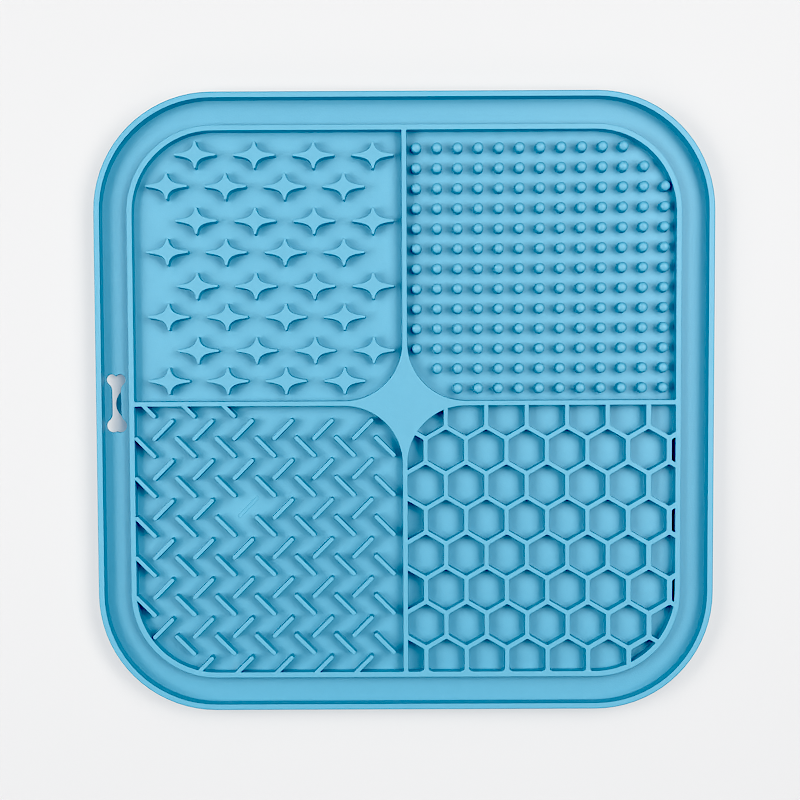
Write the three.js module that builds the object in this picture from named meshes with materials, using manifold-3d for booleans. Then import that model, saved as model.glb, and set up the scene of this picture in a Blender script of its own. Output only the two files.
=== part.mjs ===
// Slow feeder lick mat: one moulded sheet of soft silicone with a raised rim,
// a gutter, four textured compartments and a bone-shaped hang slot.
// Millimetres, +Z up. The origin is the centre of the flat underside and +Y
// points to the edge above the star compartment.
import * as THREE from 'three';
import { mergeVertices } from 'three/addons/utils/BufferGeometryUtils.js';
import Module from 'manifold-3d';

const wasm = await Module();
wasm.setup();

// Sheet, rim, gutter and walls
const MAT_SIDE = 200;
const MAT_CORNER = 38;
const RIM_TOP = 9.0;
const RIM_WIDTH = 1.7;
const EDGE_ROUND = 0.5;
const GUTTER_WIDTH = 8.5;
const GUTTER_FLOOR = 2.4;
const GUTTER_FILLET = 1.0;
const WALL_WIDTH = 1.6;
const WALL_TOP = 7.0;
const FLOOR_TOP = 2.0;
const DIVIDER_WIDTH = 1.6;
const CENTRE_ARC = 19;
const CORNER_STEPS = 10;
const CENTRE_STEPS = 8;
const CUT_TOP = 14;
const CUT_BOTTOM = -1;

// Compartment of four-pointed stars, upper left
const STAR_LONG = 6.8;
const STAR_SHORT = 4.3;
const STAR_TIP = 0.5;
const STAR_WAIST = 1.45;
const STAR_PITCH = 19;
const STAR_COLUMNS = 4;
const STAR_ROWS = [
  { x: -67.1, y: 80.0 },
  { x: -76.6, y: 70.0 },
  { x: -67.1, y: 59.0 },
  { x: -76.6, y: 49.0 },
  { x: -67.1, y: 38.0 },
  { x: -76.6, y: 28.0 },
  { x: -67.1, y: 17.3 },
  { x: -76.6, y: 7.3 },
];

// Compartment of round nubs, upper right
const NUB_RADIUS = 1.7;
const NUB_CROWN = 0.7;
const NUB_SIDES = 6;
const NUB_FIRST = { x: 4.1, y: 82.2 };
const NUB_PITCH = { x: 6.68, y: 6.46 };
const NUB_COLUMNS = 13;
const NUB_ROWS = 13;
const NUB_ROW_SPANS = [
  { row: 0, first: 0, last: 10 },
  { row: 1, first: 0, last: 11 },
  { row: 11, first: 1, last: 12 },
  { row: 12, first: 2, last: 12 },
];

// Compartment of herringbone ridges, lower left
const RIDGE_WIDTH = 1.5;
const RIDGE_RUN = 5.6;
const RIDGE_PITCH = { x: 13.0, y: 12.94 };
const RISING_FIRST = { x: -79.0, y: -8.5 };
const FALLING_FIRST = { x: -84.9, y: -14.2 };
const RISING_ROWS = [
  { row: 0, first: 0, last: 5 },
  { row: 1, first: 0, last: 5 },
  { row: 2, first: 0, last: 1 },
  { row: 2, first: 3, last: 5 },
  { row: 3, first: 0, last: 5 },
  { row: 4, first: 0, last: 5 },
  { row: 5, first: 0, last: 5 },
  { row: 6, first: 1, last: 5 },
];
const FALLING_ROWS = [
  { row: -1, first: 0, last: 2 },
  { row: 0, first: 0, last: 6 },
  { row: 1, first: 0, last: 6 },
  { row: 2, first: 0, last: 6 },
  { row: 3, first: 0, last: 6 },
  { row: 4, first: 0, last: 6 },
  { row: 5, first: 1, last: 6 },
];

// Compartment of honeycomb cells, lower right
const CELL_WALL = 1.45;
const CELL_PITCH = { x: 13.16, y: 11.46 };
const CELL_FIRST = { x: 6.9, y: -3.9 };
const CELL_COLUMNS = 7;
const CELL_ROWS = 8;

// Bone-shaped slot through the gutter floor, and the strip that holds it
const SLOT_CENTRE = { x: -94.45, y: 0.2 };
const SLOT_LENGTH = 19;
const SLOT_SHAFT = 3.2;
const SLOT_LOBE = 1.85;
const SLOT_LOBE_SPREAD = 1.4;
const SLOT_LOBE_SIDES = 12;
const SLOT_FLARE = 1.7;
const STRIP_LENGTH = 34;
const STRIP_INNER = -89.95;
const SEAM = 0.3;

const HALF = MAT_SIDE / 2;
const RIM_INNER = HALF - RIM_WIDTH;
const WALL_OUTER = RIM_INNER - GUTTER_WIDTH;
const WALL_INNER = WALL_OUTER - WALL_WIDTH;
const CELL_FLAT = (CELL_PITCH.x - CELL_WALL) / 2;
const CELL_RISE = (CELL_PITCH.y - CELL_WALL * Math.cos(Math.PI / 6)) * (2 / 3);

/** Points of an arc about a centre, both ends included. */
function arc(cx, cy, radius, from, to, steps) {
  return Array.from({ length: steps + 1 }, (_, i) => {
    const angle = from + ((to - from) * i) / steps;
    return new THREE.Vector2(cx + radius * Math.cos(angle), cy + radius * Math.sin(angle));
  });
}

/** Outline of a square with round corners, set in from the mat's edge. */
function roundedSquare(half) {
  const radius = MAT_CORNER - (HALF - half);
  const c = half - radius;
  const turn = Math.PI / 2;
  return [[c, c], [-c, c], [-c, -c], [c, -c]].flatMap(([cx, cy], i) =>
    arc(cx, cy, radius, i * turn, (i + 1) * turn, CORNER_STEPS));
}

/** The solid that a closed geometry bounds. */
function solid(geometry) {
  const bare = geometry.clone();
  bare.deleteAttribute('normal');
  bare.deleteAttribute('uv');
  const merged = mergeVertices(bare);
  return new wasm.Manifold(new wasm.Mesh({
    numProp: 3,
    vertProperties: new Float32Array(merged.attributes.position.array),
    triVerts: new Uint32Array(merged.index.array),
  }));
}

/** An outline raised from one height to another, its ends eased where asked. */
function prism(points, low, high, { hole = null, ease = 0 } = {}) {
  const shape = new THREE.Shape(points);
  if (hole) shape.holes.push(new THREE.Path(hole));
  const geometry = new THREE.ExtrudeGeometry(shape, {
    depth: high - low - 2 * ease,
    bevelEnabled: ease > 0,
    bevelThickness: ease,
    bevelSize: ease,
    bevelOffset: -ease,
    bevelSegments: 1,
    curveSegments: 1,
  });
  geometry.translate(0, 0, low + ease);
  return solid(geometry);
}

/** A block between two corners. */
function block(low, high) {
  const geometry = new THREE.BoxGeometry(high[0] - low[0], high[1] - low[1], high[2] - low[2]);
  geometry.translate((low[0] + high[0]) / 2, (low[1] + high[1]) / 2, (low[2] + high[2]) / 2);
  return solid(geometry);
}

/** Several solids joined into one. */
const join = (solids) => wasm.Manifold.union(solids);

/** Outline of a compartment, from its inner corner by the centre star. */
function compartment(sx, sy) {
  const edge = DIVIDER_WIDTH / 2;
  const inner = edge + CENTRE_ARC;
  const corner = MAT_CORNER - (HALF - WALL_INNER);
  const c = WALL_INNER - corner;
  const points = [
    ...arc(inner, inner, CENTRE_ARC, Math.PI, Math.PI * 1.5, CENTRE_STEPS),
    new THREE.Vector2(WALL_INNER, edge),
    ...arc(c, c, corner, 0, Math.PI / 2, CORNER_STEPS),
    new THREE.Vector2(edge, WALL_INNER),
  ].map((p) => new THREE.Vector2(p.x * sx, p.y * sy));
  return sx * sy < 0 ? points.reverse() : points;
}

/** Outline of a star with blunt tips and hollow sides. */
function starOutline(x, y) {
  const quarter = [
    [STAR_LONG, STAR_TIP], [STAR_WAIST, STAR_WAIST], [STAR_TIP, STAR_SHORT],
  ];
  const flip = ([px, py]) => [-px, py];
  const upper = [...quarter, ...quarter.map(flip).reverse()];
  const lower = upper.map(([px, py]) => [-px, -py]);
  return [...upper, ...lower].map(([px, py]) => new THREE.Vector2(x + px, y + py));
}

/** The stars of the upper left compartment. */
function stars() {
  return STAR_ROWS.flatMap((row) => Array.from({ length: STAR_COLUMNS }, (_, i) =>
    prism(starOutline(row.x + i * STAR_PITCH, row.y), 0, WALL_TOP)));
}

/** The nubs of the upper right compartment, each with a crowned top. */
function nubs() {
  const profile = [
    [0, 0], [NUB_RADIUS, 0], [NUB_RADIUS, WALL_TOP - NUB_CROWN], [0, WALL_TOP],
  ].map(([r, z]) => new THREE.Vector2(r, z));
  const turned = new THREE.LatheGeometry(profile, NUB_SIDES);
  turned.rotateX(Math.PI / 2);
  const nub = solid(turned);
  const solids = [];
  for (let row = 0; row < NUB_ROWS; row += 1) {
    const span = NUB_ROW_SPANS.find((s) => s.row === row) ?? { first: 0, last: NUB_COLUMNS - 1 };
    for (let column = span.first; column <= span.last; column += 1) {
      solids.push(nub.translate([
        NUB_FIRST.x + column * NUB_PITCH.x, NUB_FIRST.y - row * NUB_PITCH.y, 0]));
    }
  }
  return solids;
}

/** Outline of a ridge with pointed-round ends, rising or falling to the right. */
function ridgeOutline(x, y, rise) {
  const half = RIDGE_RUN / 2;
  const w = RIDGE_WIDTH / 2;
  const long = Math.hypot(half, half);
  const points = [[long + w, 0], [long, w], [-long, w], [-long - w, 0], [-long, -w], [long, -w]];
  const turn = rise * (Math.PI / 4);
  return points.map(([px, py]) => new THREE.Vector2(
    x + px * Math.cos(turn) - py * Math.sin(turn), y + px * Math.sin(turn) + py * Math.cos(turn)));
}

/** The ridges of the lower left compartment. */
function ridges() {
  const field = (rows, first, rise) => rows.flatMap((r) =>
    Array.from({ length: r.last - r.first + 1 }, (_, i) => prism(ridgeOutline(
      first.x + (r.first + i) * RIDGE_PITCH.x, first.y - r.row * RIDGE_PITCH.y, rise), 0, WALL_TOP)));
  return [...field(RISING_ROWS, RISING_FIRST, 1), ...field(FALLING_ROWS, FALLING_FIRST, -1)];
}

/** The open cells of the honeycomb, over the whole lower right quarter. */
function cells() {
  const solids = [];
  for (let row = 0; row < CELL_ROWS; row += 1) {
    const shift = row % 2 === 1 ? CELL_PITCH.x / 2 : 0;
    for (let column = -1; column < CELL_COLUMNS; column += 1) {
      const x = CELL_FIRST.x + shift + column * CELL_PITCH.x;
      const y = CELL_FIRST.y - row * CELL_PITCH.y;
      solids.push(prism([
        [0, CELL_RISE], [-CELL_FLAT, CELL_RISE / 2], [-CELL_FLAT, -CELL_RISE / 2],
        [0, -CELL_RISE], [CELL_FLAT, -CELL_RISE / 2], [CELL_FLAT, CELL_RISE / 2],
      ].map(([px, py]) => new THREE.Vector2(x + px, y + py)), FLOOR_TOP, CUT_TOP));
    }
  }
  return solids;
}

/** The bone-shaped slot, run past both faces of the gutter floor. */
function slot() {
  const lobe = new THREE.CylinderGeometry(
    SLOT_LOBE, SLOT_LOBE, CUT_TOP - CUT_BOTTOM, SLOT_LOBE_SIDES);
  lobe.rotateX(Math.PI / 2);
  lobe.translate(0, 0, (CUT_TOP + CUT_BOTTOM) / 2);
  const lobeSolid = solid(lobe);
  const reach = SLOT_LENGTH / 2 - SLOT_LOBE;
  const s = SLOT_SHAFT / 2;
  const spread = SLOT_LOBE_SPREAD + SLOT_LOBE * Math.SQRT1_2;
  const foot = reach - SLOT_LOBE * Math.SQRT1_2;
  const shaft = [
    [s, -foot + SLOT_FLARE], [s, foot - SLOT_FLARE], [spread, foot], [0, reach + SLOT_LOBE_SPREAD],
    [-spread, foot], [-s, foot - SLOT_FLARE], [-s, -foot + SLOT_FLARE], [-spread, -foot],
    [0, -reach - SLOT_LOBE_SPREAD], [spread, -foot],
  ].map(([x, y]) => new THREE.Vector2(SLOT_CENTRE.x + x, SLOT_CENTRE.y + y));
  const lobes = [-1, 1].flatMap((sx) => [-1, 1].map((sy) => lobeSolid.translate([
    SLOT_CENTRE.x + sx * SLOT_LOBE_SPREAD, SLOT_CENTRE.y + sy * reach, 0])));
  return join([prism(shaft, CUT_BOTTOM, CUT_TOP), ...lobes]);
}

/** The whole moulding, before the strip with the slot is parted from it. */
function moulding() {
  const sheet = prism(roundedSquare(HALF), 0, RIM_TOP, { ease: EDGE_ROUND });
  const above = prism(roundedSquare(RIM_INNER), WALL_TOP, CUT_TOP);
  const gutter = prism(roundedSquare(RIM_INNER), GUTTER_FLOOR, CUT_TOP, {
    hole: roundedSquare(WALL_OUTER).reverse(), ease: GUTTER_FILLET });
  const pocket = (sx, sy) => prism(compartment(sx, sy), FLOOR_TOP, CUT_TOP);
  const starPocket = pocket(-1, 1).subtract(join(stars()));
  const nubPocket = pocket(1, 1).subtract(join(nubs()));
  const ridgePocket = pocket(-1, -1).subtract(join(ridges()));
  const cellPocket = pocket(1, -1).intersect(join(cells()));
  return sheet.subtract(join([above, gutter, starPocket, nubPocket, ridgePocket, cellPocket]))
    .subtract(slot());
}

/** The mesh of a node, with its own silicone finish. */
function mesh(name, manifold) {
  const data = manifold.getMesh();
  const geometry = new THREE.BufferGeometry();
  geometry.setAttribute('position', new THREE.BufferAttribute(data.vertProperties, 3));
  geometry.setIndex(new THREE.BufferAttribute(data.triVerts, 1));
  geometry.computeVertexNormals();
  const material = new THREE.MeshStandardMaterial({ color: 0x6fc0df, roughness: 0.6, metalness: 0 });
  const node = new THREE.Mesh(geometry, material);
  node.name = name;
  return node;
}

/** The stretch of the left border about the slot, grown or shrunk on its sides. */
function stretch(grow) {
  const end = STRIP_LENGTH / 2 + grow;
  return block([-MAT_SIDE, -end, CUT_BOTTOM], [STRIP_INNER + grow, end, CUT_TOP]);
}

const whole = moulding();
const mat = new THREE.Group();
mat.add(mesh('mat', whole.subtract(stretch(SEAM / 2))));
mat.add(mesh('slot_strip', whole.intersect(stretch(-SEAM / 2))));

export default mat;
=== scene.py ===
"""Slow feeder lick mat: one moulded square of soft blue silicone on a white table.

A raised rim and a gutter run round four compartments, which hold four-pointed stars,
round nubs, herringbone ridges and honeycomb cells. A bone-shaped hang slot goes through
the gutter on the left. The moulding is one closed skin. Its upper face is worked out in
plan: every form gives closed rings of points that follow its outline at set distances,
each ring at the height its cross-section has there, and a triangulation that keeps all
the rings joins them into one face. Sizes are millimetres until the mesh is written, with
+Z up and the origin in the middle of the flat underside.
"""

import logging
import math
from dataclasses import dataclass
from enum import Enum

import bpy
import numpy as np
from mathutils import Euler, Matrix
from mathutils.geometry import delaunay_2d_cdt


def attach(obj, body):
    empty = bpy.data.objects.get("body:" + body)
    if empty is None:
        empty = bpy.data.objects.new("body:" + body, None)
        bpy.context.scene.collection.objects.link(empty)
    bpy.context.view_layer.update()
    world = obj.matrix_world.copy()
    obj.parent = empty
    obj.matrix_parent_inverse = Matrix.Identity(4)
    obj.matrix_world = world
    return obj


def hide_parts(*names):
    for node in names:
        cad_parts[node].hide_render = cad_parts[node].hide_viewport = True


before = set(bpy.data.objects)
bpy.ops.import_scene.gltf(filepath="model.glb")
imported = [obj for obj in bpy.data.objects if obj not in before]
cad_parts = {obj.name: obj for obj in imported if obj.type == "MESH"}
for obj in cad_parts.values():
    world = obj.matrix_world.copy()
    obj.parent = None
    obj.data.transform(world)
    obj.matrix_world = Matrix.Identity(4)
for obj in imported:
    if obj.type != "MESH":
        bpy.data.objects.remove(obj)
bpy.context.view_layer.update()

LOG = logging.getLogger("lick_mat")

# Name of the mesh attribute that marks the slot's lip, where the finish paints a darker blue as shade
PAINTED_SHADE = "painted_shade"

# One millimetre in metres, and the cosine and sine of 45 degrees
MM = 0.001
DIAGONAL = math.sqrt(0.5)

# Heights of the moulding, in millimetres
RIM_TOP = 9.0
WALL_TOP = 7.0
FLOOR_TOP = 2.0
GUTTER_FLOOR = 2.4


class Quarter(Enum):
    """The four compartments, by the signs of X and Y."""

    STARS = (-1, 1)
    NUBS = (1, 1)
    RIDGES = (-1, -1)
    CELLS = (1, -1)

    def holds(self, points: np.ndarray) -> np.ndarray:
        """Whether points lie on this compartment's side of both dividers."""
        return (points * np.array(self.value) > 0).all(-1)


class Lean(Enum):
    """Which way a ridge runs, seen from above."""

    RISING = 1
    FALLING = -1


# Cross-sections

@dataclass(frozen=True)
class Profile:
    """A cross-section of the surface beside an outline.

    Attributes:
        offset: distance of each point from the outline. It rises where heights are read off.
        height: height of each point.
        tilt: angle of the surface's normal above the offset's own direction, in radians.
    """

    offset: np.ndarray
    height: np.ndarray
    tilt: np.ndarray

    def height_at(self, distance: np.ndarray) -> np.ndarray:
        """Height of the cross-section at any distance, straight between its points."""
        return np.interp(distance, self.offset, self.height)


def turn(
    centre: tuple[float, float], radius: float, start: float, end: float, steps: int, hollow: bool = False
) -> Profile:
    """A round part of a cross-section.

    The point at angle a is the centre plus the radius times (cos a, sin a). On a hollow
    part it is the centre less that. The normal has angle a on both.

    Args:
        centre: offset and height of the arc's centre.
        radius: radius of the arc.
        start: first angle, in degrees.
        end: last angle, in degrees.
        steps: straight pieces of the arc.
        hollow: True for a fillet, False for a rounded edge.

    Returns:
        The arc as a profile.
    """
    angle = np.radians(np.linspace(start, end, steps + 1))
    reach = -radius if hollow else radius
    return Profile(centre[0] + reach * np.cos(angle), centre[1] + reach * np.sin(angle), angle)


def chain(*parts: Profile) -> Profile:
    """Several parts of a cross-section as one.

    Args:
        parts: the parts, one after the other along the offset.

    Returns:
        One profile with all their points.
    """
    return Profile(
        np.concatenate([p.offset for p in parts]),
        np.concatenate([p.height for p in parts]),
        np.concatenate([p.tilt for p in parts]),
    )


@dataclass(frozen=True)
class RaisedEdge:
    """How a raised form falls from its flat top to the floor beside it.

    Attributes:
        top: height of the flat top.
        foot: height of the floor.
        crown: radius that rounds the top edge.
        fillet: radius that eases the side into the floor.
        draft: lean of the side from upright, in degrees, as a mould needs it.
        crown_steps: straight pieces of the rounded edge.
        fillet_steps: straight pieces of the fillet.
    """

    top: float = WALL_TOP
    foot: float = FLOOR_TOP
    crown: float = 0.2
    fillet: float = 0.12
    draft: float = 1.2
    crown_steps: int = 3
    fillet_steps: int = 3

    def profile(self) -> Profile:
        """The rounded edge, then the straight side, then the fillet."""
        crown = turn((-self.crown, self.top - self.crown), self.crown, 90, self.draft, self.crown_steps)
        return chain(crown, self.foot_turn(float(crown.offset[-1]), float(crown.height[-1])))

    def foot_turn(self, offset: float, height: float) -> Profile:
        """The fillet at the foot of a side that leans out from a given point.

        The side gains the tangent of the draft for each millimetre that it falls.

        Args:
            offset: distance from the outline where the side starts.
            height: height where the side starts.

        Returns:
            The fillet as a profile.
        """
        lean = math.radians(self.draft)
        meets = self.foot + self.fillet * (1 - math.sin(lean))
        centre = offset + (height - meets) * math.tan(lean) + self.fillet * math.cos(lean)
        return turn((centre, self.foot + self.fillet), self.fillet, self.draft, 90, self.fillet_steps, True)


# Outlines and rings

def rounded_polygon(
    corners: np.ndarray, radii: np.ndarray, arc_steps: int, side_steps: int
) -> tuple[np.ndarray, np.ndarray]:
    """Outline of a convex polygon with round corners.

    Each corner's arc has its centre where the two sides meet once both are moved in by
    the radius, and its points are the centre plus the radius times the outward normal.

    Args:
        corners: the sharp corners, counter-clockwise, n by 2.
        radii: the radius of each corner.
        arc_steps: straight pieces of each arc.
        side_steps: straight pieces of each side.

    Returns:
        The points and the outward normals, both m by 2.
    """
    along = np.roll(corners, -1, 0) - corners
    along = along / np.linalg.norm(along, axis=1, keepdims=True)
    normal = np.stack([along[:, 1], -along[:, 0]], 1)
    before = np.roll(normal, 1, 0)
    meet = 1 + np.sum(before * normal, 1, keepdims=True)
    centre = corners - (before + normal) * radii[:, None] / meet
    first = np.arctan2(before[:, 1], before[:, 0])
    swing = (np.arctan2(normal[:, 1], normal[:, 0]) - first) % (2 * np.pi)
    angle = first[:, None] + swing[:, None] * np.linspace(0, 1, arc_steps + 1)
    arc_normal = np.stack([np.cos(angle), np.sin(angle)], -1)
    arc = centre[:, None] + radii[:, None, None] * arc_normal
    part = np.linspace(0, 1, side_steps + 1)[1:-1, None]
    start, end = arc[:, -1][:, None], np.roll(arc[:, 0], -1, 0)[:, None]
    side = start + (end - start) * part
    side_normal = np.broadcast_to(normal[:, None], side.shape)
    points = np.concatenate([arc, side], 1).reshape(-1, 2)
    normals = np.concatenate([arc_normal, side_normal], 1).reshape(-1, 2)
    return points, normals


@dataclass
class Rings:
    """Closed rings of points on the upper face.

    Attributes:
        place: X and Y of each point.
        height: Z of each point.
        normal: the surface's normal at each point.
        offset: how far each point lies from its form's own outline.
        link: pairs of neighbours, by index.
        count: points in each single ring, where all have as many.
    """

    place: np.ndarray
    height: np.ndarray
    normal: np.ndarray
    offset: np.ndarray
    link: np.ndarray
    count: int = 0

    def ring(self, level: int) -> np.ndarray:
        """Indices of one ring, where the rings follow a single outline."""
        return np.arange(self.count) + level * self.count


def ring_links(rings: int, count: int) -> np.ndarray:
    """Pairs of neighbours round each of several closed rings of as many points.

    Args:
        rings: how many rings there are.
        count: points in each ring.

    Returns:
        The pairs, rings times count by 2.
    """
    index = np.arange(rings * count).reshape(rings, count)
    return np.stack([index, np.roll(index, -1, 1)], -1).reshape(-1, 2)


def sweep(outline: np.ndarray, away: np.ndarray, profile: Profile) -> Rings:
    """Rings that carry a cross-section round one outline or several.

    A point is the outline's point plus the profile's offset times the given direction.
    Its normal is that direction times the cosine of the tilt, with the sine of the tilt
    upwards.

    Args:
        outline: points of the outlines, k by n by 2.
        away: direction in which the offset grows at each point, k by n by 2.
        profile: the cross-section.

    Returns:
        The rings, outline by outline and in the profile's order.
    """
    kinds, count = outline.shape[:2]
    levels = len(profile.offset)
    offset = profile.offset[None, :, None]
    place = outline[:, None] + offset[..., None] * away[:, None]
    flat = np.cos(profile.tilt)[None, :, None, None] * away[:, None]
    up = np.broadcast_to(np.sin(profile.tilt)[None, :, None, None], flat.shape[:-1] + (1,))
    height = np.broadcast_to(profile.height[None, :, None], (kinds, levels, count))
    return Rings(
        place.reshape(-1, 2),
        height.reshape(-1).copy(),
        np.concatenate([flat, up], -1).reshape(-1, 3),
        np.broadcast_to(offset, (kinds, levels, count)).reshape(-1).copy(),
        ring_links(kinds * levels, count),
        count,
    )


def gather(parts: list[Rings]) -> Rings:
    """Several sets of rings as one.

    Args:
        parts: the sets.

    Returns:
        One set, with the points numbered on from part to part.
    """
    starts = np.cumsum([0] + [len(p.place) for p in parts[:-1]])
    return Rings(
        np.concatenate([p.place for p in parts]),
        np.concatenate([p.height for p in parts]),
        np.concatenate([p.normal for p in parts]),
        np.concatenate([p.offset for p in parts]),
        np.concatenate([p.link + s for p, s in zip(parts, starts)]),
    )


def pick(rings: Rings, kept: np.ndarray, shown: np.ndarray) -> Rings:
    """Some of the points and links of a set of rings.

    Args:
        rings: the set.
        kept: whether each point stays.
        shown: whether each link stays. Both ends of such a link have to stay too.

    Returns:
        The smaller set, with its points numbered anew.
    """
    number = np.cumsum(kept) - 1
    return Rings(
        rings.place[kept],
        rings.height[kept],
        rings.normal[kept],
        rings.offset[kept],
        number[rings.link[shown]],
    )


def within(points: np.ndarray, polygon: np.ndarray) -> np.ndarray:
    """Whether points lie inside a polygon.

    A point does where a ray from it to the right meets an odd number of sides. A level
    side is never met, so its slope may be anything.

    Args:
        points: the places, n by 2.
        polygon: the polygon's corners, m by 2.

    Returns:
        One answer for each point.
    """
    a, b = polygon, np.roll(polygon, -1, 0)
    x, y = points[:, :1], points[:, 1:]
    spans = (a[:, 1] > y) != (b[:, 1] > y)
    rise = b[:, 1] - a[:, 1]
    slope = (b[:, 0] - a[:, 0]) / np.where(rise == 0, 1.0, rise)
    return (spans & (x < a[:, 0] + (y - a[:, 1]) * slope)).sum(1) % 2 == 1


def to_segments(points: np.ndarray, polygon: np.ndarray) -> np.ndarray:
    """Distance from points to the nearest side of a closed polygon.

    The nearest place on a side is its start plus the share of it that the point's gap
    from the start covers along it, kept between nothing and one.

    Args:
        points: the places, n by 2.
        polygon: the polygon's corners, m by 2.

    Returns:
        One distance for each point.
    """
    a, b = polygon, np.roll(polygon, -1, 0)
    along = b - a
    gap = points[:, None] - a[None]
    part = np.clip((gap * along).sum(-1) / (along * along).sum(-1), 0, 1)
    return np.linalg.norm(gap - part[..., None] * along, axis=-1).min(1)


# Border: rim, gutter and outer side of the wall

@dataclass(frozen=True)
class Border:
    """The rim, the gutter and the wall that runs round the compartments.

    Attributes:
        side: width of the mat over its outer edges.
        corner: radius of the outer edge's corners.
        rim_width: width of the rim at its top.
        rim_outer: radius that rounds the rim's outer top edge.
        rim_inner: radius that rounds the rim's inner top edge.
        gutter_width: distance from the rim to the wall.
        rim_fillet: radius that eases the rim's inner side into the gutter.
        wall_fillet: radius that eases the wall's side into the gutter.
        wall_crown: radius that rounds the wall's top edge.
        draft: lean of the wall's side, in degrees.
        rim_draft: lean of the rim's inner side, in degrees.
        under_round: radius that rounds the outer side into the underside.
        arc_steps: straight pieces of each corner.
        side_steps: straight pieces of each side.
        outer_steps: straight pieces of the rim's outer rounding.
        edge_steps: straight pieces of the rim's inner rounding and of both fillets.
        crown_steps: straight pieces of the wall's rounded edge.
        under_steps: straight pieces of the rounding below.
    """

    side: float = 200.2
    corner: float = 38.1
    rim_width: float = 1.85
    rim_outer: float = 0.42
    rim_inner: float = 0.1
    gutter_width: float = 8.5
    rim_fillet: float = 0.06
    wall_fillet: float = 0.08
    wall_crown: float = 0.18
    draft: float = 1.2
    rim_draft: float = 0.3
    under_round: float = 0.5
    arc_steps: int = 18
    side_steps: int = 42
    outer_steps: int = 6
    edge_steps: int = 4
    crown_steps: int = 3
    under_steps: int = 5

    def wall_start(self) -> float:
        """Distance from the outer edge to the wall's gutter side."""
        return self.rim_width + self.gutter_width

    def outline(self) -> tuple[np.ndarray, np.ndarray]:
        """The outer edge, a square with round corners.

        Returns:
            The points and the direction inwards at each of them, both n by 2.
        """
        half = self.side / 2
        corners = np.array([[half, -half], [half, half], [-half, half], [-half, -half]])
        points, normals = rounded_polygon(corners, np.full(4, self.corner), self.arc_steps, self.side_steps)
        return points, -normals

    def profile(self) -> Profile:
        """Cross-section from the outer edge inwards to the flat top of the wall.

        It is the rim's two roundings, the fillet at the foot of the rim's inner side and
        the wall's side. That side is a raised edge met from its foot: each offset is the
        wall's start less the edge's own, and each tilt is 180 degrees less the edge's.

        Returns:
            The profile, with offsets from the outer edge.
        """
        outer = turn((self.rim_outer, RIM_TOP - self.rim_outer), self.rim_outer, 180, 90, self.outer_steps)
        inner_centre = (self.rim_width - self.rim_inner, RIM_TOP - self.rim_inner)
        inner = turn(inner_centre, self.rim_inner, 90, self.rim_draft, self.edge_steps)
        rim = RaisedEdge(
            top=RIM_TOP, foot=GUTTER_FLOOR, fillet=self.rim_fillet, draft=self.rim_draft,
            fillet_steps=self.edge_steps,
        )
        down = rim.foot_turn(float(inner.offset[-1]), float(inner.height[-1]))
        wall = RaisedEdge(
            top=WALL_TOP, foot=GUTTER_FLOOR, crown=self.wall_crown, fillet=self.wall_fillet,
            draft=self.draft, crown_steps=self.crown_steps, fillet_steps=self.edge_steps,
        ).profile()
        climb = Profile(
            self.wall_start() - wall.offset[::-1], wall.height[::-1], np.pi - wall.tilt[::-1]
        )
        return chain(outer, inner, down, climb)

    def inset(self, points: np.ndarray) -> np.ndarray:
        """Distance of points inwards from the outer edge.

        It is the corner's radius less the distance to the square that is smaller than
        the mat by that radius on each side. Over that square it is the radius itself.

        Args:
            points: the places, X and Y last.

        Returns:
            The distances.
        """
        core = self.side / 2 - self.corner
        return self.corner - np.linalg.norm(np.maximum(np.abs(points) - core, 0), axis=-1)

    def rings(self) -> Rings:
        """Rings from the outer edge to the flat top of the wall."""
        points, inward = self.outline()
        return sweep(points[None], inward[None], self.profile())

    def under_profile(self) -> Profile:
        """Cross-section from the foot of the outer side round to the flat underside."""
        return turn((self.under_round, self.under_round), self.under_round, 180, 270, self.under_steps)


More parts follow.
